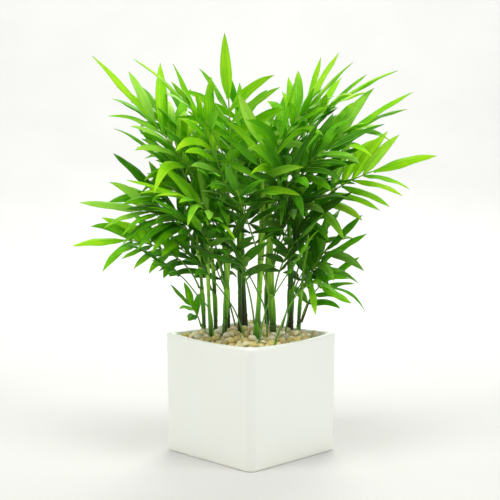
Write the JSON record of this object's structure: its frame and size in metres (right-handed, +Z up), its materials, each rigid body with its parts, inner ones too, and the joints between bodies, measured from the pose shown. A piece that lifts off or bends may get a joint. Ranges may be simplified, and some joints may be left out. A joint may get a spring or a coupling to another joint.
{
  "type": "potted parlor palm",
  "caption": "Clump of slender palm canes with feathery arching fronds in a square ceramic planter topped with small stones.",
  "frame": {"origin": "middle of the planter's flat base, on the surface it stands on", "axes": "+Z up; +X and +Y along the planter's sides; the near corner of the picture points to +X, -Y"},
  "size_m": [0.3255, 0.3376, 0.5027],
  "materials": {
    "glazed_ceramic": "satin white glaze",
    "potting_soil": "dark, matte, crumbly",
    "pebble": "smooth matte cream and tan stones",
    "cane": "smooth green stem",
    "leaf": "satin green leaf",
    "dry_leaf": "dry brown"
  },
  "bodies": {
    "root": {"cane_01": "cane", "cane_02": "cane", "cane_03": "cane", "cane_04": "cane", "cane_05": "cane", "cane_06": "cane", "cane_07": "cane", "cane_08": "cane", "cane_09": "cane", "cane_10": "cane", "cane_11": "cane", "cane_12": "cane", "cane_13": "cane", "dry_petiole": "dry_leaf", "frond_01": "leaf", "frond_02": "leaf", "frond_03": "leaf", "frond_04": "leaf", "frond_05": "leaf", "frond_06": "leaf", "frond_07": "leaf", "frond_08": "leaf", "frond_09": "leaf", "frond_10": "leaf", "frond_11": "leaf", "frond_12": "leaf", "frond_13": "leaf", "frond_14": "leaf", "frond_15": "leaf", "frond_16": "leaf", "frond_17": "leaf", "frond_18": "leaf", "frond_19": "leaf", "frond_20": "leaf", "frond_21": "leaf", "frond_22": "leaf", "frond_23": "leaf", "frond_24": "leaf", "frond_25": "leaf", "frond_26": "leaf", "frond_27": "leaf", "frond_28": "leaf", "frond_29": "leaf", "frond_30": "leaf", "frond_31": "leaf", "frond_32": "leaf", "frond_33": "leaf", "frond_34": "leaf", "frond_35": "leaf", "frond_36": "leaf", "frond_37": "leaf", "frond_38": "leaf", "frond_39": "leaf", "frond_40": "leaf", "frond_41": "leaf", "frond_42": "leaf", "pot": "glazed_ceramic", "soil": "potting_soil", "stones": "pebble"}
  },
  "joints": []
}
